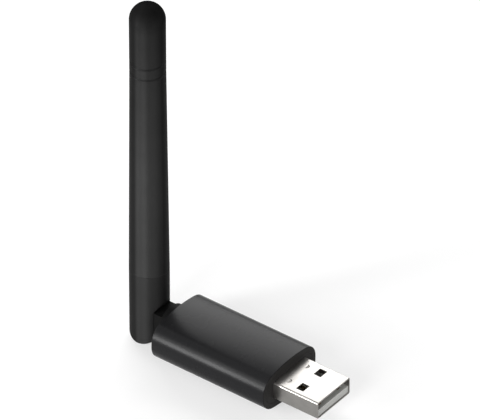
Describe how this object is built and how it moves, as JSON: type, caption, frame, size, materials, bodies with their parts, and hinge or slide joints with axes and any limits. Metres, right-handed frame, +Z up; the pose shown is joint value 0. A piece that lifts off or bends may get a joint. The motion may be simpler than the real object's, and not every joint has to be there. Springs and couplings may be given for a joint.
{
  "type": "smart home usb radio stick",
  "caption": "Flat USB-A radio stick with a crowned plastic housing and a rod antenna that swivels on a collar and folds on a fork hinge.",
  "frame": {"origin": "centre of the plug's section in the plane of the housing's front face", "axes": "+X out of the plug, +Y across the housing, +Z up along the raised antenna"},
  "size_m": [0.0564, 0.0194, 0.0914],
  "materials": {
    "housing_plastic": "satin spark-eroded ABS, dark grey",
    "cap_plastic": "satin ABS, near black",
    "plug_steel": "nickel-plated steel strip",
    "plug_insulator": "pale grey nylon",
    "contact_gold": "gold-plated phosphor bronze",
    "board_laminate": "glass-epoxy laminate under green solder mask",
    "chip_resin": "black moulding resin",
    "crystal_lid": "plated lid",
    "can_steel": "tinned steel sheet",
    "capacitor_ceramic": "fired ceramic",
    "resistor_coat": "black glass coat",
    "coax_gold": "gold-plated brass",
    "lead_jacket": "black fluoropolymer jacket",
    "collar_plastic": "black acetal",
    "spring_steel": "spring steel",
    "antenna_base_plastic": "matte charcoal acetal",
    "antenna_radome_plastic": "matte charcoal elastomer",
    "radiator_brass": "drawn brass",
    "spacer_plastic": "white foam-free polyethylene"
  },
  "bodies": {
    "stick": {"housing_sleeve": "housing_plastic", "front_cap": "cap_plastic", "usb_shell": "plug_steel", "usb_insulator": "plug_insulator", "usb_contact_power": "contact_gold", "usb_contact_data_minus": "contact_gold", "usb_contact_data_plus": "contact_gold", "usb_contact_ground": "contact_gold", "circuit_board": "board_laminate", "bridge_chip": "chip_resin", "voltage_regulator": "chip_resin", "radio_chip": "chip_resin", "radio_crystal": "crystal_lid", "shield_can": "can_steel", "chip_capacitors": "capacitor_ceramic", "chip_resistors": "resistor_coat", "coax_socket": "coax_gold", "coax_plug": "coax_gold", "coax_lead": "lead_jacket"},
    "swivel": {"swivel_collar": "collar_plastic", "spring_washer": "spring_steel", "retaining_clip": "spring_steel"},
    "antenna": {"antenna_base": "antenna_base_plastic", "antenna_radome": "antenna_radome_plastic", "antenna_lead": "lead_jacket", "dipole_sleeve": "radiator_brass", "antenna_whip": "radiator_brass", "whip_spacer": "spacer_plastic"}
  },
  "joints": [
    {"name": "antenna_swivel", "type": "hinge", "parent": "stick", "child": "swivel", "pos_m": [-0.0327, 0, -0.0004], "axis": [1, 0, 0], "range_deg": [-90, 90]},
    {"name": "antenna_fold", "type": "hinge", "parent": "swivel", "child": "antenna", "pos_m": [-0.0395, 0, -0.0004], "axis": [0, 1, 0], "range_deg": [-90, 0]}
  ]
}
